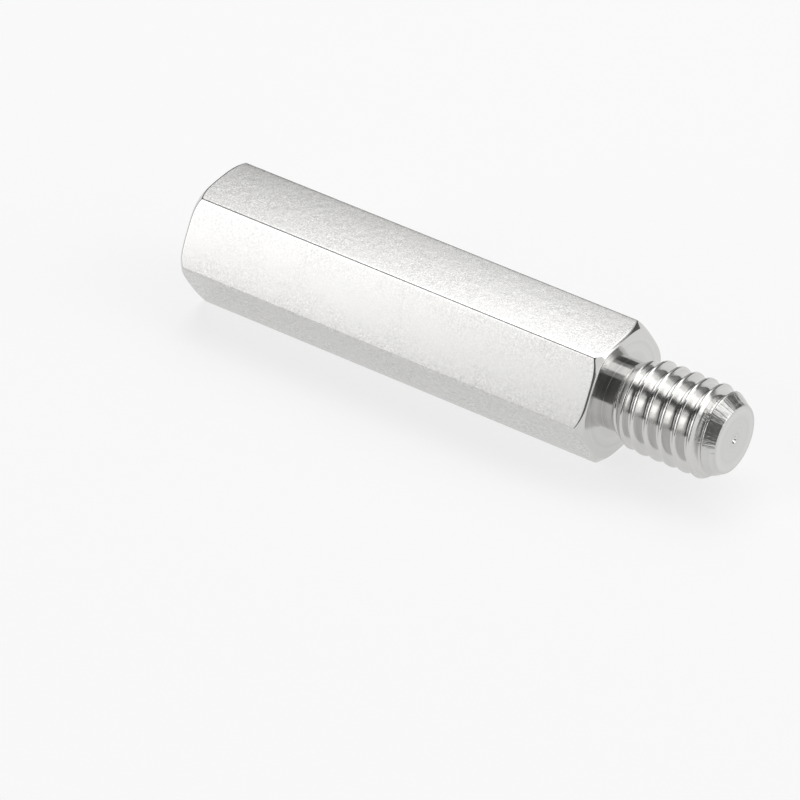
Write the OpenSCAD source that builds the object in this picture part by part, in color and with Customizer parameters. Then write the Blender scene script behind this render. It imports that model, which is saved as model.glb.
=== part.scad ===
// Male-female hex standoff, turned in one piece from drawn hexagonal bar: a metric M6 stud
// at one end, an M6 tapped hole at the other.
// It lies on one flat of the hexagon, its axis along X, with the stud towards +X.
// Lengths are in millimetres and angles in degrees.

/* [Hex body] */
// Width of the bar across its flats
across_flats = 8; // [7.5:0.5:14]
// Length of the hexagonal body, from the tapped end to the shoulder
body_length = 30; // [20:1:80]
// Radius along the six long edges of the bar
edge_radius = 0.15; // [0.05:0.05:0.4]
// Diameter of the round end faces, inside the chamfers that take off the hexagon's corners
end_face_d = 8.2; // [7.4:0.1:8.3]
// Angle between those chamfers and the end faces
chamfer_angle = 45; // [20:5:60]

/* [Threaded stud] */
// Length of the stud, from the shoulder to its end face
stud_length = 8; // [6:0.5:20]
// Major diameter of the thread: nominal 6, less the allowance of an outside thread
thread_d = 5.85; // [5.65:0.05:6]
// Pitch of the thread
pitch = 1; // [0.75:0.05:1.2]
// Height of the groove's centre above the shoulder where it starts, which clocks the thread
groove_start = 0.3; // [0.2:0.05:0.5]
// Diameter of the relief turned at the foot of the stud
relief_d = 4.5; // [4:0.1:4.5]
// Width of the floor of the relief
relief_width = 0.7; // [0.6:0.1:2]
// Angle to the axis at which the relief rises to the thread
relief_rise = 30; // [25:5:60]
// Diameter of the stud's end face
tip_d = 4.3; // [3.4:0.1:4.8]
// Length of the chamfer at the tip
tip_length = 1.3; // [0.5:0.1:2]
// Diameter of the centre mark in the end face
mark_d = 0.5; // [0.2:0.1:0.8]
// Depth of the centre mark
mark_depth = 0.15; // [0.1:0.05:0.3]

/* [Tapped hole] */
// Diameter of the hole at the crests of its thread
hole_d = 5; // [4:0.1:5.2]
// Depth of the full diameter, from the end face
hole_depth = 12; // [6:1:16]
// Diameter of the countersink at the mouth
countersink_d = 6.3; // [5.4:0.1:6.8]
// Included angle of the countersink
countersink_angle = 90; // [60:10:120]
// Included angle of the drill's point at the bottom
drill_point = 118; // [90:1:140]

/* [Hidden] */
$fn = 96;

flats = 6;
half_flat = 180 / flats;
corner_r = across_flats / 2 / cos(half_flat);
total_length = body_length + stud_length;
stud_root = 1;

// The metric thread form, and how finely its helix is cut
flank_angle = 30;
crest_flat = pitch / 8;
thread_depth = 0.6134 * pitch;
steps_per_turn = 32;
overcut = 0.08;

// A regular hexagon with its first flat square to X and its corners rounded by true arcs.
module bar_section() {
    hub = corner_r - edge_radius / cos(half_flat);
    for (i = [0 : flats - 1])
        rotate((2 * i + 1) * half_flat) translate([hub, 0]) circle(r = edge_radius);
    polygon([for (i = [0 : flats - 1], side = [-half_flat, half_flat])
        let (a = (2 * i + 1) * half_flat)
            hub * [cos(a), sin(a)] + edge_radius * [cos(a + side), sin(a + side)]]);
}

// What the lathe leaves of the bar: a drum as wide as the corners, coned down to both end faces.
module turned_ends() {
    face_r = end_face_d / 2;
    cone = (corner_r - face_r) * tan(chamfer_angle);
    rotate_extrude() polygon([
        [0, 0], [face_r, 0], [corner_r, cone],
        [corner_r, body_length - cone], [face_r, body_length], [0, body_length]]);
}

module hex_bar() {
    intersection() {
        linear_extrude(body_length) bar_section();
        turned_ends();
    }
}

// The stud before its thread is cut, standing on the shoulder at height 0 and rooted below it.
module stud_blank() {
    thread_foot = relief_width + (thread_d - relief_d) / 2 / tan(relief_rise);
    rotate_extrude() polygon([
        [0, -stud_root], [relief_d / 2, -stud_root],
        [relief_d / 2, relief_width], [thread_d / 2, thread_foot],
        [thread_d / 2, stud_length - tip_length], [tip_d / 2, stud_length], [0, stud_length]]);
}

// Section of the groove between two crests, as [radius, height] points about height 0.
function groove_section() =
    let (floor_r = thread_d / 2 - thread_depth,
         half_floor = (pitch - crest_flat) / 2 - thread_depth * tan(flank_angle),
         half_mouth = (pitch - crest_flat) / 2 + overcut * tan(flank_angle))
    [[floor_r, -half_floor], [thread_d / 2 + overcut, -half_mouth],
     [thread_d / 2 + overcut, half_mouth], [floor_r, half_floor]];

// The groove swept along a right-hand helix. It starts in the relief, which is deeper than
// the groove, and leaves past the tip, so that both of its ends are in the open.
module thread_groove() {
    section = groove_section();
    n = len(section);
    last = ceil((stud_length + pitch - groove_start) / pitch * steps_per_turn);
    points = [for (i = [0 : last], p = section)
        let (a = 360 * i / steps_per_turn)
            [p.x * cos(a), p.x * sin(a), groove_start + pitch * i / steps_per_turn + p.y]];
    sides = [for (i = [0 : last - 1], j = [0 : n - 1])
        let (a = i * n + j, b = i * n + (j + 1) % n) each [[a, b, b + n], [a, b + n, a + n]]];
    start = [for (j = [n - 1 : -1 : 0]) j];
    end = [for (j = [0 : n - 1]) last * n + j];
    polyhedron(points, concat(sides, [start, end]));
}

module stud() {
    difference() {
        stud_blank();
        thread_groove();
        translate([0, 0, stud_length - mark_depth]) cylinder(d1 = 0, d2 = mark_d, h = mark_depth);
    }
}

// Everything that the drill and the countersink remove, with the mouth at height 0.
module tapped_hole() {
    mouth_r = countersink_d / 2;
    wall_r = hole_d / 2;
    sink = (mouth_r - wall_r) / tan(countersink_angle / 2);
    point = wall_r / tan(drill_point / 2);
    rotate_extrude() polygon([
        [0, -1], [mouth_r, -1], [mouth_r, 0], [wall_r, sink], [wall_r, hole_depth], [0, hole_depth + point]]);
}

module standoff() {
    color("silver")
        translate([-total_length / 2, 0, across_flats / 2]) rotate([0, 90, 0]) {
            difference() {
                hex_bar();
                tapped_hole();
            }
            translate([0, 0, body_length]) stud();
        }
}

standoff();
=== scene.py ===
import bmesh
import bpy
import math
import numpy as np
from mathutils import Matrix, Vector


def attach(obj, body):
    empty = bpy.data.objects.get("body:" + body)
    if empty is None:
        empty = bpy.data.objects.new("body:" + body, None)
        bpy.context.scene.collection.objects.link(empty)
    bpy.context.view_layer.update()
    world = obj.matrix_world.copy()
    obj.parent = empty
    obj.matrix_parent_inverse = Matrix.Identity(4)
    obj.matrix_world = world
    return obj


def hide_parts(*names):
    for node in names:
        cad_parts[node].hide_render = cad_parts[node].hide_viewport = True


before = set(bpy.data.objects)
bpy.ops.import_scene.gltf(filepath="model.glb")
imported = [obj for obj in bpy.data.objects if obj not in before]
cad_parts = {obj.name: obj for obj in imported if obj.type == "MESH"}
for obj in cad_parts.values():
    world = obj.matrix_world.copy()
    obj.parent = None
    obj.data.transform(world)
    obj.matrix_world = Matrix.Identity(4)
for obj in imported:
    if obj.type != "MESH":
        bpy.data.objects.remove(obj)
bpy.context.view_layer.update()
print("frame loaded:", sorted(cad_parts))

mm = 0.001                       # the standoff is worked out in millimetres
halfFlat = math.radians(30)      # from the middle of a flat to its edge, seen from the axis
satin, turned, cut = range(3)    # the finish of a face, in the order in which the piece gets its materials

# The standoff, in mm and degrees. It lies along X on one flat, with its tapped end at low X. Heights on the
# stud count from the shoulder, and depths in the hole from the tapped end face.
standoff = {
    "bar": {
        "acrossFlats": 8.0,
        "length": 30.0,
        "axisHeight": 4.0,
        "tappedEnd": -19.0,         # X of the tapped end face
        "longEdgeRadius": 0.25,     # along the six edges of the drawn bar
        "flatCrown": 0.036,         # how far a flat falls off towards its edges
        "faceDiameter": 8.2,        # of the round end faces inside the chamfers
        "chamferAngle": 45.0,       # from the end face
        "edgeBreak": 0.20,          # radius where a chamfer meets the face or a flat
        "faceBlend": 0.25,          # how gently the face's circle gives way to a flat that cuts inside it
        "burnished": 0.95,          # angle round the axis that is worn bright on each side of a long edge
        "burnishFade": 1.6,         # angle over which that wear ends
        "columnsPerFlat": 25,
        "columnsPerEdge": 7,
        "faceRows": 7,
        "breakRows": 5,
        "flatRows": 13,
    },
    "stud": {
        "length": 8.0,
        "threadDiameter": 5.85,
        "pitch": 1.0,
        "grooveStart": 0.3,         # clocks the thread: height of the groove's centre where its helix starts
        "crestFlat": 0.15,
        "grooveDepth": 0.61,
        "flankAngle": 30.0,
        "crestRounding": 0.055,
        "rootRounding": 0.15,
        "reliefDiameter": 4.5,
        "reliefWidth": 0.7,
        "reliefRise": 30.0,         # angle to the axis at which the relief rises to the thread
        "riseCorner": 0.01,         # half the height over which the relief's floor turns into its rise
        "footFillet": 0.012,
        "tipDiameter": 4.3,
        "tipLength": 1.3,
        "rimBreak": 0.14,           # radius between the tip's cone and its face
        "markDiameter": 0.5,        # of the centre mark
        "markDepth": 0.22,
        "markCurve": 1.6,           # power that rounds the mark's side: 1 is a plain cone
        "markLip": (0.02, 0.008),   # width and depth of the edge rolled into the mark
        "threadEnd": 0.15,          # how far before the end face the thread's rows end
        "rowRounding": 0.032,       # half the height over which rows stand close together, in pitches
        "flankRows": 3,
        "filletRows": 5,
        "reliefRows": 8,
        "rimRows": 6,
        "tipFaceRows": 10,
        "markRows": 8,
    },
    "hole": {
        "wallDiameter": 5.0,
        "rootDiameter": 6.0,
        "pitch": 1.0,
        "flankAngle": 30.0,
        "grooveFloor": 0.12,        # width of the groove's floor
        "depth": 12.0,
        "drillPoint": 118.0,
        "pointRows": (0, 0.24, 0.48, 0.72, 0.9, 1),    # shares of the wall's radius
        "threadStart": 0.1,         # where the thread's rows start, inside the countersink
        "threadedDepth": 10.5,
        "threadFade": 2.5,          # depth over which the groove runs out
        "runout": 0.4,              # depth of the plain wall that the thread's rows still cover
        "fadeDrop": 0.1,            # how far inside the wall's radius the groove has drawn back where it ends
        "flankRows": (0.14, 0.24),  # where rows stand on a flank, in pitches from the groove's centre
        "mouthSpread": 0.03,        # from the groove's edge at the wall to the row on each side of it
        "blend": 0.05,              # how gently the groove, the wall and the countersink meet
        "sinkDiameter": 6.3,
        "sinkAngle": 90.0,
        "rim": ((0.1, 0), (0.05, 0), (0.02, 0.006), (0, 0.04)),    # depth and widening of the broken edge
    },
}


def smoothMin(a, b, k):
    # The smaller of a and b, less a quarter of k where they meet, which rounds the edge between them
    h = np.maximum(k - np.abs(a - b), 0) / k
    return np.minimum(a, b) - h * h * k / 4


def smoothMax(a, b, k):
    # The larger of a and b, with a quarter of k more where they meet
    return -smoothMin(-a, -b, k)


def rings(values, angle):
    # A row of the same value all round the axis for each of the values
    return np.asarray(values, float)[:, None] * np.ones_like(angle)


def columnAngles(p):
    # Angles round the axis, from straight up towards the front: a few across each rounded long edge,
    # spaced evenly on its arc, and the rest spread evenly over the flats
    edgeRadius = p["longEdgeRadius"]
    hub = (p["acrossFlats"] / 2 - edgeRadius) / math.cos(halfFlat)
    t = np.linspace(-halfFlat, halfFlat, p["columnsPerEdge"])
    edge = np.arctan2(edgeRadius * np.sin(t), hub + edgeRadius * np.cos(t))
    flat = np.linspace(edge[-1], 2 * halfFlat - edge[-1], p["columnsPerFlat"] + 2)[1:-1]
    sector = np.concatenate([edge, flat])
    return np.concatenate([halfFlat + 2 * halfFlat * k + sector for k in range(6)])


def hexRadius(angle, p):
    # Radius of the rounded hexagon: half the width over the cosine of the angle from the flat's middle,
    # less a parabolic crown, and a true arc of the edge radius about its hub at each corner
    a = (angle + halfFlat) % (2 * halfFlat) - halfFlat
    b = halfFlat - np.abs(a)
    halfWidth, edgeRadius = p["acrossFlats"] / 2, p["longEdgeRadius"]
    hub = (halfWidth - edgeRadius) / math.cos(halfFlat)
    arcEnd = math.atan2(edgeRadius * math.sin(halfFlat), hub + edgeRadius * math.cos(halfFlat))
    across = np.tan(a) / math.tan(halfFlat - arcEnd)
    flat = (halfWidth - p["flatCrown"] * across ** 2) / np.cos(a)
    drop = p["flatCrown"] / math.cos(halfFlat)
    arc = hub * np.cos(b) + np.sqrt(np.maximum(edgeRadius ** 2 - (hub * np.sin(b)) ** 2, 0)) - drop
    return np.where(b < arcEnd, arc, flat)


def barEndRows(angle, innerRadius, p):
    # One end of the bar as depths from its end face and radii, from the inner edge out: the face, an arc,
    # the chamfer, an arc, the flat. A point of an arc is its centre plus the edge break times the sine of
    # its turn outwards and the cosine of it towards the face. Where a flat cuts inside the face's circle
    # the two centres nearly meet.
    chamfer, q = math.radians(p["chamferAngle"]), p["edgeBreak"]
    outerCentre = hexRadius(angle, p) - q
    innerCentre = smoothMin(p["faceDiameter"] / 2 - q * math.tan(chamfer / 2), outerCentre, p["faceBlend"])
    outerDepth = q + (outerCentre - innerCentre) * math.tan(chamfer)
    t = np.linspace(0, 1, p["faceRows"], endpoint=False)[:, None]
    a = np.linspace(0, chamfer, p["breakRows"])[:, None]
    b = np.linspace(chamfer, math.pi / 2, p["breakRows"])[:, None]
    flush = np.zeros_like(angle)
    depth = np.concatenate([t * flush, q - q * np.cos(a) + flush, outerDepth - q * np.cos(b)])
    face = innerRadius + (innerCentre - innerRadius) * t
    radius = np.concatenate([face, innerCentre + q * np.sin(a), outerCentre + q * np.sin(b)])
    return depth, radius


def studBlank(u, p):
    # Radius of the stud before threading at height u: the relief or its rise, whichever is larger, then
    # the full diameter or the tip's cone, whichever is smaller
    k = p["crestRounding"]
    rise = p["reliefDiameter"] / 2 + (u - p["reliefWidth"]) * math.tan(math.radians(p["reliefRise"]))
    foot = np.maximum(p["reliefDiameter"] / 2, rise)
    slope = (p["threadDiameter"] - p["tipDiameter"]) / 2 / p["tipLength"]
    cone = p["tipDiameter"] / 2 + (p["length"] - u) * slope
    return smoothMin(smoothMin(foot, p["threadDiameter"] / 2, k), cone, k)


def studThread(u, angle, p):
    # Radius at height u and an angle: the distance from the nearest groove's centre along the axis gives
    # a trapezoid with sloping flanks, rounded in its floor, and the blank limits it from above
    h = (u - p["grooveStart"] - p["pitch"] * angle / (2 * math.pi)) % p["pitch"] - p["pitch"] / 2
    mouth = (p["pitch"] - p["crestFlat"]) / 2
    flank = p["threadDiameter"] / 2 + (np.abs(h) - mouth) / math.tan(math.radians(p["flankAngle"]))
    groove = smoothMax(flank, p["threadDiameter"] / 2 - p["grooveDepth"], p["rootRounding"])
    return smoothMin(studBlank(u, p), groove, p["crestRounding"])


def holeThread(x, angle, p):
    # Radius at depth x and an angle: the wall, a right-hand groove that fades out towards the bottom,
    # and the countersink, whichever is widest
    wall, root = p["wallDiameter"] / 2, p["rootDiameter"] / 2
    h = (x - p["pitch"] * angle / (2 * math.pi) + p["pitch"] / 2) % p["pitch"] - p["pitch"] / 2
    flank = root - (np.abs(h) - p["grooveFloor"] / 2) / math.tan(math.radians(p["flankAngle"]))
    fade = np.clip((p["threadedDepth"] - x) / p["threadFade"], 0, 1)
    groove = np.minimum(root, flank) - (root - wall + p["fadeDrop"]) * (1 - fade)
    sink = p["sinkDiameter"] / 2 - x / math.tan(math.radians(p["sinkAngle"] / 2))
    return smoothMax(smoothMax(groove, wall, p["blend"]), sink, p["blend"])


def studSteps(p):
    # Where rows stand about a groove's centre, in pitches: five across each rounded edge of the floor
    # and of the mouth, a few on the flank between them, and the same again mirrored about the centre
    mouth = (p["pitch"] - p["crestFlat"]) / 2 / p["pitch"]
    floor = mouth - p["grooveDepth"] * math.tan(math.radians(p["flankAngle"])) / p["pitch"]
    spread = p["rowRounding"] * np.array([-1, -0.5, 0, 0.5, 1])
    flank = np.linspace(floor + p["rowRounding"], mouth - p["rowRounding"], p["flankRows"] + 2)[1:-1]
    half = np.concatenate([floor + spread, flank, mouth + spread])
    return np.concatenate([[0], half, [0.5], 1 - half])


def holeSteps(p):
    # The same for the hole: the centre, the floor's edge, the flank, both sides of the mouth, the middle
    # of the wall, and the mirrored half
    floor = p["grooveFloor"] / 2 / p["pitch"]
    deep = (p["rootDiameter"] - p["wallDiameter"]) / 2
    mouth = floor + deep * math.tan(math.radians(p["flankAngle"])) / p["pitch"]
    half = np.array([floor, *p["flankRows"], mouth - p["mouthSpread"], mouth + p["mouthSpread"]])
    return np.concatenate([[0], half, [0.5], 1 - half])


def helixHeights(low, high, start, angle, pitch, steps):
    # Rows that climb one pitch a turn, held between two level rings and kept in step with the groove,
    # whose centre is at start + pitch * angle / 2 pi: the height is low + pitch * (turns - 2 + share of
    # a pitch + share of a turn from the first column), clipped, so that the ends close on the rings
    share = np.sort((steps + (start - low) / pitch + angle[0] / (2 * math.pi)) % 1)
    turns = math.ceil((high - low) / pitch) + 3
    share = (np.arange(turns)[:, None] + share[None, :]).ravel()
    climb = (angle - angle[0])[None, :] / (2 * math.pi)
    return np.clip(low + pitch * (share[:, None] - 2 + climb), low, high)


def patch(x, r, lead, finish):
    # A grid of X and radius on rows by columns, which joins itself round the axis `lead` rows on
    return {"x": x, "r": r, "lead": lead, "finish": finish}


def holePatches(angle, tappedEnd, p):
    # From the drill's point out to the mouth, at X = tapped end + depth: on the point's cone the depth is
    # the bottom's plus what the radius lacks of the wall's over the tangent of half the point's angle
    wall = p["wallDiameter"] / 2
    point = rings(wall * np.array(p["pointRows"]), angle)
    pointDepth = p["depth"] + (wall - point) / math.tan(math.radians(p["drillPoint"] / 2))
    low, high = p["threadStart"], p["threadedDepth"] + p["runout"]
    steps = holeSteps(p)
    depth = helixHeights(low, high, 0, angle, p["pitch"], steps)
    rimDepth, widening = np.array(p["rim"]).T
    rim = p["sinkDiameter"] / 2 - rimDepth / math.tan(math.radians(p["sinkAngle"] / 2)) + widening
    patches = [
        patch(tappedEnd + pointDepth, point, 0, cut),
        patch(tappedEnd + rings([p["depth"], high], angle), rings([wall, wall], angle), 0, cut),
        patch(tappedEnd + depth[::-1], holeThread(depth, angle, p)[::-1], -len(steps), cut),
        patch(tappedEnd + rings(rimDepth, angle), rings(rim, angle), 0, turned),
    ]
    return patches, rim[-1]


def barPatches(angle, mouthRadius, footRadius, p):
    # The tapped end, the flats and the shoulder: along a flat X goes evenly from one end's chamfer to the
    # other's, at the hexagon's own radius
    depth, radius = barEndRows(angle, mouthRadius, p)
    shoulderDepth, shoulderRadius = barEndRows(angle, footRadius, p)
    x = p["tappedEnd"] + depth
    shoulderX = p["tappedEnd"] + p["length"] - shoulderDepth
    along = np.linspace(0, 1, p["flatRows"])[:, None]
    flatX = x[-1] * (1 - along) + shoulderX[-1] * along
    return [
        patch(x, radius, 0, turned),
        patch(flatX, hexRadius(angle, p) * np.ones_like(along), 0, satin),
        patch(shoulderX[::-1], shoulderRadius[::-1], 0, turned),
    ]


def studPatches(angle, shoulder, p):
    # The foot's fillet, a quarter circle, then the relief, with three rows close together at its corner,
    # and the thread, each at X = shoulder + height
    fillet = p["footFillet"]
    a = np.linspace(0, math.pi / 2, p["filletRows"])
    footRadius = p["reliefDiameter"] / 2 + fillet - fillet * np.sin(a)
    corner = p["reliefWidth"] + p["riseCorner"] * np.array([-1, 0, 1])
    relief = rings([*np.linspace(fillet, corner[0], p["reliefRows"]), *corner[1:]], angle)
    steps = studSteps(p)
    high = p["length"] - p["threadEnd"]
    thread = helixHeights(corner[-1], high, p["grooveStart"], angle, p["pitch"], steps)
    return [
        patch(shoulder + rings(fillet - fillet * np.cos(a), angle), rings(footRadius, angle), 0, turned),
        patch(shoulder + relief, studBlank(relief, p), 0, turned),
        patch(shoulder + thread, studThread(thread, angle, p), len(steps), cut),
        tipPatch(angle, shoulder, high, p),
    ]


def tipPatch(angle, shoulder, start, p):
    # The end of the cone, an arc to the flat face, and the centre mark, whose depth is its full depth
    # times 1 less a power of the radius over the mark's
    slope = math.atan2((p["threadDiameter"] - p["tipDiameter"]) / 2, p["tipLength"])
    q, end, mark = p["rimBreak"], p["length"], p["markDiameter"] / 2
    arcCentre = p["tipDiameter"] / 2 - q * (1 - math.sin(slope)) / math.cos(slope)
    b = np.linspace(math.pi / 2 - slope, 0, p["rimRows"])
    lipWidth, lipDepth = p["markLip"]
    faceRadius = np.linspace(arcCentre, mark + lipWidth, p["tipFaceRows"])[1:]
    markRadius = np.linspace(mark, 0, p["markRows"])[1:]
    markHeight = end - p["markDepth"] * (1 - (markRadius / mark) ** p["markCurve"])
    height = [start, *(end - q + q * np.cos(b)), *np.full_like(faceRadius, end), end - lipDepth, *markHeight]
    radius = [studBlank(start, p), *(arcCentre + q * np.sin(b)), *faceRadius, mark, *markRadius]
    return patch(shoulder + rings(height, angle), rings(radius, angle), 0, turned)


def gridMesh(name, patches, angle, axisHeight):
    # Every patch becomes x = x, y = -r sin(angle), z = axis + r cos(angle), with a four-sided face between
    # neighbouring rows and columns. After the last column comes the first one, `lead` rows on. Rows that
    # fall on the same ring are merged afterwards, and that closes the poles and the seams.
    mergeWithin, slimmerThan = 2e-7, 1e-8
    points, faces, finishes, base = [], [], [], 0
    m = len(angle)
    for part in patches:
        x, r = part["x"], part["r"]
        n = len(x)
        points.append(np.stack([x, -r * np.sin(angle), axisHeight + r * np.cos(angle)], -1).reshape(-1, 3))
        i, j = np.meshgrid(np.arange(n - 1), np.arange(m), indexing="ij")
        i2, j2 = i + np.where(j == m - 1, part["lead"], 0), (j + 1) % m
        ok = (i2 >= 0) & (i2 + 1 <= n - 1)
        quad = np.stack([i * m + j, i2 * m + j2, (i2 + 1) * m + j2, (i + 1) * m + j], -1)[ok] + base
        faces.append(quad)
        finishes.append(np.full(len(quad), part["finish"], np.int32))
        base += n * m
    points, faces = np.concatenate(points) * mm, np.concatenate(faces)
    mesh = bpy.data.meshes.new(name)
    mesh.vertices.add(len(points))
    mesh.vertices.foreach_set("co", points.ravel())
    mesh.loops.add(faces.size)
    mesh.loops.foreach_set("vertex_index", faces.ravel())
    mesh.polygons.add(len(faces))
    mesh.polygons.foreach_set("loop_start", np.arange(0, faces.size, 4))
    mesh.polygons.foreach_set("material_index", np.concatenate(finishes))
    mesh.update(calc_edges=True)
    bm = bmesh.new()
    bm.from_mesh(mesh)
    bmesh.ops.remove_doubles(bm, verts=bm.verts, dist=mergeWithin)
    bmesh.ops.dissolve_degenerate(bm, edges=bm.edges, dist=slimmerThan)
    bm.to_mesh(mesh)
    bm.free()
    mesh.update()
    return mesh


def areaNormals(mesh):
    # A point's normal is the sum of its faces' normals times their areas, so that flats stay flat up to
    # their edges
    faceCount, cornerCount = len(mesh.polygons), len(mesh.loops)
    normal, area = np.empty(faceCount * 3), np.empty(faceCount)
    corners, vertex = np.empty(faceCount, np.int32), np.empty(cornerCount, np.int32)
    mesh.polygons.foreach_get("normal", normal)
    mesh.polygons.foreach_get("area", area)
    mesh.polygons.foreach_get("loop_total", corners)
    mesh.loops.foreach_get("vertex_index", vertex)
    weighted = np.repeat(normal.reshape(-1, 3) * area[:, None], corners, axis=0)
    total = np.stack([np.bincount(vertex, weighted[:, k], len(mesh.vertices)) for k in range(3)], -1)
    total /= np.maximum(np.linalg.norm(total, axis=1, keepdims=True), 1e-20)
    mesh.polygons.foreach_set("use_smooth", np.ones(faceCount, bool))
    mesh.normals_split_custom_set_from_vertices([tuple(v) for v in total])


def markBurnish(mesh, p):
    # How worn each point is: 1 along the bar's long edges, falling evenly to 0 with the angle from them
    co = np.empty(len(mesh.vertices) * 3)
    mesh.vertices.foreach_get("co", co)
    co = co.reshape(-1, 3)
    angle = np.arctan2(-co[:, 1], co[:, 2] - p["axisHeight"] * mm)
    fromEdge = np.abs((angle + 2 * math.pi) % (2 * halfFlat) - halfFlat)
    worn = 1 - (fromEdge - math.radians(p["burnished"])) / math.radians(p["burnishFade"])
    layer = mesh.attributes.new("edgeBurnish", "FLOAT", "POINT")
    layer.data.foreach_set("value", np.clip(worn, 0, 1).astype(np.float32))


def buildStandoff():
    # One closed skin: the hole from its bottom out, the bar, and the stud to the centre of its face
    bar, stud, hole = standoff["bar"], standoff["stud"], standoff["hole"]
    angle = columnAngles(bar)
    patches, mouthRadius = holePatches(angle, bar["tappedEnd"], hole)
    patches += barPatches(angle, mouthRadius, stud["reliefDiameter"] / 2 + stud["footFillet"], bar)
    patches += studPatches(angle, bar["tappedEnd"] + bar["length"], stud)
    mesh = gridMesh("nickelStandoff", patches, angle, bar["axisHeight"])
    areaNormals(mesh)
    markBurnish(mesh, bar)
    piece = bpy.data.objects.new("nickelStandoff", mesh)
    bpy.context.scene.collection.objects.link(piece)
    return piece


# The standoff's finish. Colours go from the lightest to the darkest of the grain, roughnesses are pairs that
# a slow noise goes between, scales are in waves a metre and depths in metres.
finish = {
    "satinColour": (0.745, 0.74, 0.73),
    "satinDark": (0.505, 0.50, 0.49),
    "satinRoughness": (0.25, 0.27),
    "burnishedRoughness": 0.20,     # along the long edges
    "grainScale": 8500.0,
    "cloudScale": 450.0,            # of the patches in which the grain is stronger
    "waveScale": 2000.0,
    "waveDepth": 0.0000036,
    "uneven": 0.65,                 # how much more grain every other flat keeps
    "speckle": (0.32, 0.68),        # the grain's values that are darkest and lightest
    "turnedColour": (0.67, 0.665, 0.655),
    "turnedDark": (0.60, 0.595, 0.585),
    "turnedRoughness": (0.09, 0.15),
    "threadRoughness": (0.13, 0.18),
    "coneRoughness": 0.11,          # what the tip's cone adds
    "turnedLines": 9000.0,
    "threadLines": 14000.0,
    "turningDepth": 0.0000003,
    "chatter": 130.0,               # height of the streaks on the tip's cone, in turning depths
    "coneMargin": 0.03,             # how far inside the cone's edge the streaks go, in mm
}


def newGroup(name, inputs, outputs):
    # An empty node group, with inputs as (label, kind, value) and outputs as (label, kind)
    group = bpy.data.node_groups.new(name, "ShaderNodeTree")
    for label, kind, value in inputs:
        socket = group.interface.new_socket(label, in_out="INPUT", socket_type=kind)
        if value is not None:
            socket.default_value = value
    for label, kind in outputs:
        group.interface.new_socket(label, in_out="OUTPUT", socket_type=kind)
    return group, group.nodes.new("NodeGroupInput"), group.nodes.new("NodeGroupOutput")


def feed(links, socket, value):
    # Link the value if it is another node's socket, or else write it in
    if hasattr(value, "links"):
        links.new(value, socket)
    else:
        socket.default_value = value


def mathNode(nodes, links, operation, *values):
    # One operation on the values
    node = nodes.new("ShaderNodeMath")
    node.operation = operation
    for socket, value in zip(node.inputs, values):
        feed(links, socket, value)
    return node.outputs[0]


def noiseNode(nodes, links, vector, scale, detail, roughness):
    # Noise at a place: `detail` finer layers, each `roughness` times as strong as the one before
    node = nodes.new("ShaderNodeTexNoise")
    for label, value in (("Vector", vector), ("Scale", scale), ("Detail", detail), ("Roughness", roughness)):
        feed(links, node.inputs[label], value)
    return node.outputs["Fac"]


def mapNode(nodes, links, value, low, high, fromLow=0.3, fromHigh=0.7):
    # Goes evenly from low to high while the value goes from fromLow to fromHigh, and stays there beyond
    node = nodes.new("ShaderNodeMapRange")
    links.new(value, node.inputs["Value"])
    for label, v in (("From Min", fromLow), ("From Max", fromHigh), ("To Min", low), ("To Max", high)):
        node.inputs[label].default_value = v
    return node.outputs[0]


def fromAxis(nodes, links, gin):
    # The place's X, Y and height over the axis
    split = nodes.new("ShaderNodeSeparateXYZ")
    links.new(gin.outputs["Position"], split.inputs[0])
    z = mathNode(nodes, links, "SUBTRACT", split.outputs["Z"], gin.outputs["Axis Height"])
    return split.outputs["X"], split.outputs["Y"], z


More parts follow.
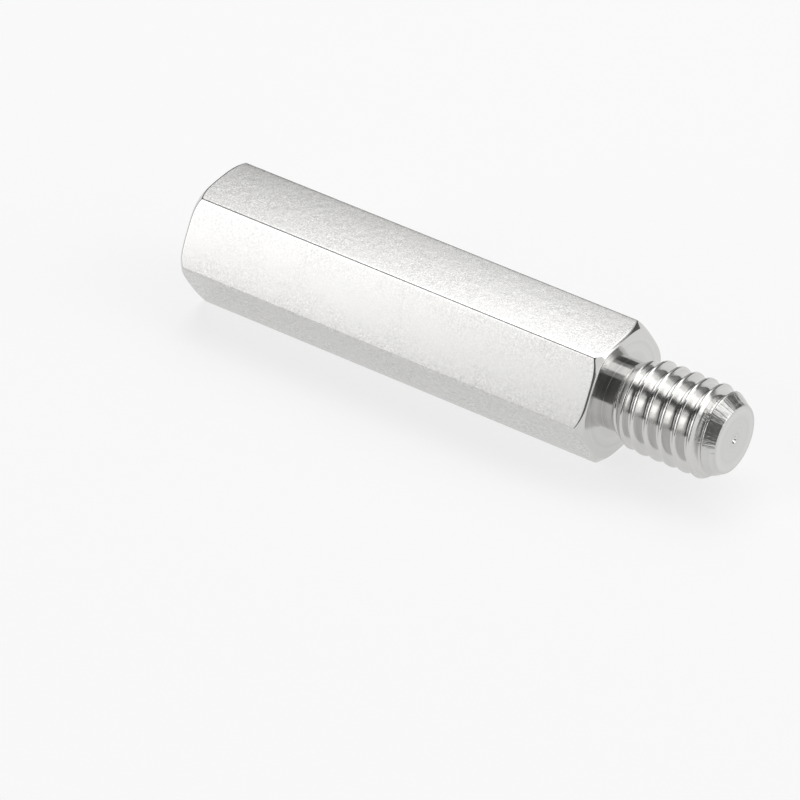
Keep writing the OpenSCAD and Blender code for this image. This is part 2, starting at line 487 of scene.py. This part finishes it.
def grainGroup():
    # Fine etched grain of the plated flats as a speckle, and a gentle waviness for the height. The speckle
    # is two noises, times a slow cloud. Every other flat keeps more of both: its share is 1 + uneven x
    # cos(3 x angle about the bar's axis).
    group, gin, gout = newGroup(
        "etchedGrain",
        [("Position", "NodeSocketVector", None), ("Axis Height", "NodeSocketFloat", 0.0),
         ("Grain", "NodeSocketFloat", 1.0), ("Wave", "NodeSocketFloat", 1.0),
         ("Cloud", "NodeSocketFloat", 1.0), ("Uneven", "NodeSocketFloat", 0.0)],
        [("Height", "NodeSocketFloat"), ("Speckle", "NodeSocketFloat"), ("Cloud", "NodeSocketFloat")])
    n, l = group.nodes, group.links
    coarseScale, fineShare, coarseShare = 0.45, 0.75, 0.25
    clearCloud, denseCloud, cloudLow, cloudHigh = 0.5, 1.1, 0.4, 0.6
    _, y, z = fromAxis(n, l, gin)
    tripled = mathNode(n, l, "MULTIPLY", mathNode(n, l, "ARCTAN2", y, z), 3.0)
    wave = mathNode(n, l, "MULTIPLY", mathNode(n, l, "COSINE", tripled), gin.outputs["Uneven"])
    kept = mathNode(n, l, "ADD", wave, 1.0)
    place = gin.outputs["Position"]
    height = noiseNode(n, l, place, gin.outputs["Wave"], 2.0, 0.5)
    l.new(mathNode(n, l, "MULTIPLY", height, kept), gout.inputs["Height"])
    fine = noiseNode(n, l, place, gin.outputs["Grain"], 3.0, 0.6)
    coarse = noiseNode(n, l, place, mathNode(n, l, "MULTIPLY", gin.outputs["Grain"], coarseScale), 2.0, 0.5)
    both = mathNode(n, l, "ADD", mathNode(n, l, "MULTIPLY", fine, fineShare),
                    mathNode(n, l, "MULTIPLY", coarse, coarseShare))
    cloud = noiseNode(n, l, place, gin.outputs["Cloud"], 3.0, 0.55)
    patchy = mathNode(n, l, "MULTIPLY", mathNode(n, l, "SUBTRACT", both, 0.5),
                      mapNode(n, l, cloud, clearCloud, denseCloud, cloudLow, cloudHigh))
    l.new(mathNode(n, l, "ADD", mathNode(n, l, "MULTIPLY", patchy, kept), 0.5), gout.inputs["Speckle"])
    l.new(cloud, gout.inputs["Cloud"])
    return group


def turningGroup():
    # Lathe marks: noise that depends only on the distance along the axis and on the distance from it. The
    # tool's chatter on the tip's cone is noise of the direction round the axis and a little of the place
    # along it, held between where the cone starts along the axis and the radius where it ends.
    group, gin, gout = newGroup(
        "latheMarks",
        [("Position", "NodeSocketVector", None), ("Axis Height", "NodeSocketFloat", 0.0),
         ("Lines", "NodeSocketFloat", 1.0), ("Chatter", "NodeSocketFloat", 0.0),
         ("Cone Start", "NodeSocketFloat", 0.0), ("Cone End", "NodeSocketFloat", 0.0)],
        [("Height", "NodeSocketFloat"), ("Band", "NodeSocketFloat"), ("Cone", "NodeSocketFloat")])
    n, l = group.nodes, group.links
    bandScale, streakStretch, streaksRound = 0.22, 90.0, 13.0
    x, y, z = fromAxis(n, l, gin)
    squares = mathNode(n, l, "ADD", mathNode(n, l, "MULTIPLY", y, y), mathNode(n, l, "MULTIPLY", z, z))
    radius = mathNode(n, l, "SQRT", squares)
    ring, spin = n.new("ShaderNodeCombineXYZ"), n.new("ShaderNodeCombineXYZ")
    l.new(x, ring.inputs["X"])
    l.new(radius, ring.inputs["Y"])
    l.new(mathNode(n, l, "DIVIDE", y, radius), spin.inputs["X"])
    l.new(mathNode(n, l, "DIVIDE", z, radius), spin.inputs["Y"])
    l.new(mathNode(n, l, "MULTIPLY", x, streakStretch), spin.inputs["Z"])
    fine = noiseNode(n, l, ring.outputs[0], gin.outputs["Lines"], 2.0, 0.6)
    wide = mathNode(n, l, "MULTIPLY", gin.outputs["Lines"], bandScale)
    band = noiseNode(n, l, ring.outputs[0], wide, 1.0, 0.5)
    streaks = noiseNode(n, l, spin.outputs[0], streaksRound, 2.0, 0.6)
    beyond = mathNode(n, l, "GREATER_THAN", x, gin.outputs["Cone Start"])
    outside = mathNode(n, l, "GREATER_THAN", radius, gin.outputs["Cone End"])
    onCone = mathNode(n, l, "MULTIPLY", beyond, outside)
    share = mathNode(n, l, "MULTIPLY", streaks, mathNode(n, l, "MULTIPLY", onCone, gin.outputs["Chatter"]))
    l.new(mathNode(n, l, "ADD", mathNode(n, l, "ADD", fine, band), share), gout.inputs["Height"])
    l.new(band, gout.inputs["Band"])
    l.new(onCone, gout.inputs["Cone"])
    return group


def startMaterial(name):
    # Plain metal, and the place on the piece that its pattern reads
    material = bpy.data.materials.new(name)
    material.use_nodes = True
    n, l = material.node_tree.nodes, material.node_tree.links
    n["Principled BSDF"].inputs["Metallic"].default_value = 1.0
    return material, n, l, n["Principled BSDF"], n.new("ShaderNodeTexCoord").outputs["Object"]


def placeGroup(nodes, links, group, position, values):
    # The group in a material, with that material's values
    node = nodes.new("ShaderNodeGroup")
    node.node_tree = group
    links.new(position, node.inputs["Position"])
    node.inputs["Axis Height"].default_value = standoff["bar"]["axisHeight"] * mm
    for label, value in values.items():
        node.inputs[label].default_value = value
    return node


def dressShader(nodes, links, shader, share, dark, light, roughness, height, depth):
    # Colour = dark + share x (light - dark), the given roughness, and a bump of the height times the depth
    mix = nodes.new("ShaderNodeMix")
    mix.data_type = "RGBA"
    mix.inputs["A"].default_value = (*dark, 1)
    mix.inputs["B"].default_value = (*light, 1)
    links.new(share, mix.inputs["Factor"])
    links.new(mix.outputs["Result"], shader.inputs["Base Color"])
    links.new(roughness, shader.inputs["Roughness"])
    bump = nodes.new("ShaderNodeBump")
    bump.inputs["Distance"].default_value = depth
    links.new(height, bump.inputs["Height"])
    links.new(bump.outputs[0], shader.inputs["Normal"])


def satinMaterial(group):
    # Satin plating over the drawn flats: a speckled colour, and roughness that follows the cloud and drops
    # to the burnished value along the long edges
    material, n, l, shader, position = startMaterial("satinNickel")
    grain = placeGroup(n, l, group, position, {
        "Grain": finish["grainScale"], "Wave": finish["waveScale"],
        "Cloud": finish["cloudScale"], "Uneven": finish["uneven"]})
    share = mapNode(n, l, grain.outputs["Speckle"], 0.0, 1.0, *finish["speckle"])
    worn = n.new("ShaderNodeAttribute")
    worn.attribute_name = "edgeBurnish"
    rough = n.new("ShaderNodeMix")
    rough.data_type = "FLOAT"
    l.new(worn.outputs["Fac"], rough.inputs["Factor"])
    l.new(mapNode(n, l, grain.outputs["Cloud"], *finish["satinRoughness"]), rough.inputs["A"])
    rough.inputs["B"].default_value = finish["burnishedRoughness"]
    dressShader(n, l, shader, share, finish["satinDark"], finish["satinColour"],
                rough.outputs["Result"], grain.outputs["Height"], finish["waveDepth"])
    return material


def turnedMaterial(name, group, lines, roughness):
    # Bright turned metal: the bands of the lathe's marks shade its colour and its roughness, and the tip's
    # cone adds to the roughness
    material, n, l, shader, position = startMaterial(name)
    bar, stud = standoff["bar"], standoff["stud"]
    coneStart = bar["tappedEnd"] + bar["length"] + stud["length"] - stud["tipLength"]
    coneEnd = stud["tipDiameter"] / 2 - finish["coneMargin"]
    marks = placeGroup(n, l, group, position, {
        "Lines": lines, "Chatter": finish["chatter"], "Cone Start": coneStart * mm, "Cone End": coneEnd * mm})
    share = mapNode(n, l, marks.outputs["Band"], 0.0, 1.0)
    added = mathNode(n, l, "MULTIPLY", marks.outputs["Cone"], finish["coneRoughness"])
    rough = mathNode(n, l, "ADD", mapNode(n, l, marks.outputs["Band"], *roughness), added)
    dressShader(n, l, shader, share, finish["turnedDark"], finish["turnedColour"],
                rough, marks.outputs["Height"], finish["turningDepth"])
    return material


def buildFinishes():
    # The three finishes, in the order of the face numbers satin, turned, cut
    grain, marks = grainGroup(), turningGroup()
    return [
        satinMaterial(grain),
        turnedMaterial("turnedNickel", marks, finish["turnedLines"], finish["turnedRoughness"]),
        turnedMaterial("threadNickel", marks, finish["threadLines"], finish["threadRoughness"]),
    ]


piece = buildStandoff()
triangles = sum(len(face.vertices) - 2 for face in piece.data.polygons)
print("standoff:", len(piece.data.vertices), "points,", triangles, "triangles")
finishes = buildFinishes()
for material in finishes:
    piece.data.materials.append(material)
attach(piece, "root")
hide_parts("standoff")
print("finishes:", [material.name for material in finishes])

# The studio. A floor's glow is how much of it shows as plain white, and levels are radiances.
studio = {
    "floorReach": 3.0,
    "floorColour": (0.96, 0.96, 0.96),
    "floorRoughness": 0.9,
    "floorGlow": 0.74,
    "roomLevel": 0.12,
    "roomEnds": 0.22,           # what the room gains in full towards low and high X
    "roomTop": -0.15,           # and straight up
    "roomLeast": 0.09,
    "aimHeight": 0.004,         # the part's axis, which the soft boxes face
}


def buildFloor():
    # A flat sheet at height 0 that shows floorGlow x white + the rest of its own colour to the camera and
    # in mirrored and refracted rays, and only its own colour to the light, so that it keeps its shadow
    reach = studio["floorReach"]
    mesh = bpy.data.meshes.new("paleFloor")
    mesh.from_pydata([(-reach, -reach, 0), (reach, -reach, 0), (reach, reach, 0), (-reach, reach, 0)],
                     [], [(0, 1, 2, 3)])
    floor = bpy.data.objects.new("paleFloor", mesh)
    bpy.context.scene.collection.objects.link(floor)
    material = bpy.data.materials.new("palePaper")
    material.use_nodes = True
    n, l = material.node_tree.nodes, material.node_tree.links
    shader = n["Principled BSDF"]
    shader.inputs["Base Color"].default_value = (*studio["floorColour"], 1)
    shader.inputs["Roughness"].default_value = studio["floorRoughness"]
    shader.inputs["Specular IOR Level"].default_value = 0.0
    path = n.new("ShaderNodeLightPath")
    seen = mathNode(n, l, "MAXIMUM", path.outputs["Is Camera Ray"], path.outputs["Is Glossy Ray"])
    seen = mathNode(n, l, "MAXIMUM", seen, path.outputs["Is Transmission Ray"])
    glow = n.new("ShaderNodeEmission")
    mix = n.new("ShaderNodeMixShader")
    l.new(mathNode(n, l, "MULTIPLY", seen, studio["floorGlow"]), mix.inputs["Fac"])
    l.new(shader.outputs[0], mix.inputs[1])
    l.new(glow.outputs[0], mix.inputs[2])
    l.new(mix.outputs[0], n["Material Output"].inputs["Surface"])
    mesh.materials.append(material)


# Soft boxes round the part: degrees from the front towards high X, degrees up, metres away, the panel's
# width and height in metres, how bright its face is, how far it is slid sideways, and its roll in degrees
lamps = {
    "overheadBox": {"around": 180, "up": 65, "away": 0.55, "width": 0.80, "height": 0.305, "level": 0.85,
                    "slide": -0.285, "roll": -9},
    "overheadLeft": {"around": 180, "up": 68, "away": 0.57, "width": 0.24, "height": 0.555, "level": 0.95,
                     "slide": 0.205},
    "overheadTop": {"around": 180, "up": 75, "away": 0.56, "width": 0.30, "height": 0.31, "level": 0.95,
                    "slide": 0.175},
    "overheadEdge": {"around": 180, "up": 66, "away": 0.58, "width": 1.08, "height": 0.72, "level": 0.28,
                     "slide": -0.165},
    "leftRearBox": {"around": -165, "up": 23, "away": 0.65, "width": 0.42, "height": 0.405, "level": 0.26},
    "leftRearTop": {"around": -135.5, "up": 43.6, "away": 0.6, "width": 0.17, "height": 0.215, "level": 0.67,
                    "roll": -19},
    "leftBox": {"around": -45, "up": 30, "away": 0.6, "width": 0.25, "height": 0.50, "level": 1.01,
                "roll": 22},
    "leftCore": {"around": -44, "up": 31, "away": 0.59, "width": 0.20, "height": 0.19, "level": 0.75,
                 "roll": 13},
    "leftEdge": {"around": -35, "up": 19.4, "away": 0.61, "width": 0.655, "height": 0.455, "level": 0.49,
                 "roll": 32},
    "rightRearBox": {"around": 118, "up": 24, "away": 0.6, "width": 0.28, "height": 0.44, "level": 1.2},
    "rightBox": {"around": 86, "up": 21, "away": 0.6, "width": 0.38, "height": 0.46, "level": 0.60},
}


def softBox(name, around, up, away, width, height, level, slide=0, roll=0):
    # A panel facing the part from a direction; its power is 4 x level x area
    light = bpy.data.lights.new(name, "AREA")
    light.shape = "RECTANGLE"
    light.size, light.size_y = width, height
    light.energy = 4 * level * width * height
    box = bpy.data.objects.new(name, light)
    a, e = math.radians(around), math.radians(up)
    back = Vector((math.sin(a) * math.cos(e), -math.cos(a) * math.cos(e), math.sin(e)))
    side = Vector((math.cos(a), math.sin(a), 0))
    turn = Matrix((side, back.cross(side), back)).transposed() @ Matrix.Rotation(math.radians(roll), 3, "Z")
    place = back * away + side * slide + Vector((0, 0, studio["aimHeight"]))
    box.matrix_world = Matrix.Translation(place) @ turn.to_4x4()
    bpy.context.scene.collection.objects.link(box)


def buildRoom():
    # A dim room round the boxes: its level rises with the square of X, towards both ends of the part, and
    # falls towards the top, but not below a least
    world = bpy.data.worlds.new("studioRoom")
    world.use_nodes = True
    n, l = world.node_tree.nodes, world.node_tree.links
    split = n.new("ShaderNodeSeparateXYZ")
    l.new(n.new("ShaderNodeTexCoord").outputs["Generated"], split.inputs[0])
    square = mathNode(n, l, "POWER", split.outputs["X"], 2.0)
    ends = mathNode(n, l, "MULTIPLY", square, studio["roomEnds"])
    top = mathNode(n, l, "MULTIPLY", split.outputs["Z"], studio["roomTop"])
    level = mathNode(n, l, "ADD", mathNode(n, l, "ADD", ends, top), studio["roomLevel"])
    l.new(mathNode(n, l, "MAXIMUM", level, studio["roomLeast"]), n["Background"].inputs["Strength"])
    n["Background"].inputs["Color"].default_value = (1, 1, 1, 1)
    bpy.context.scene.world = world


# Where the camera is and looks, in metres, its roll in degrees and its lens and sensor in mm
cameraView = {
    "place": (0.201998, -0.280621, 0.263784),
    "towards": (-0.472145, 0.638302, -0.607989),
    "roll": -1.6065,
    "lens": 321.6289,
    "sensor": 36.0,
    "nearest": 0.01,
    "farthest": 20.0,
}


def buildCamera(p):
    # Its right hand is square to the view and to straight up, then turned about the view by the roll
    data = bpy.data.cameras.new("camera")
    data.sensor_width, data.lens = p["sensor"], p["lens"]
    data.clip_start, data.clip_end = p["nearest"], p["farthest"]
    camera = bpy.data.objects.new("camera", data)
    forward = Vector(p["towards"]).normalized()
    right = forward.cross(Vector((0, 0, 1))).normalized()
    up = right.cross(forward)
    c, s = math.cos(math.radians(p["roll"])), math.sin(math.radians(p["roll"]))
    turn = Matrix((right * c + up * s, up * c - right * s, -forward)).transposed()
    camera.matrix_world = Matrix.Translation(Vector(p["place"])) @ turn.to_4x4()
    bpy.context.scene.collection.objects.link(camera)
    bpy.context.scene.camera = camera


buildFloor()
for name, facts in lamps.items():
    softBox(name, **facts)
buildRoom()
buildCamera(cameraView)
bpy.context.scene.view_settings.view_transform = "Standard"
print("stage,", len(lamps), "lamps and camera ready")
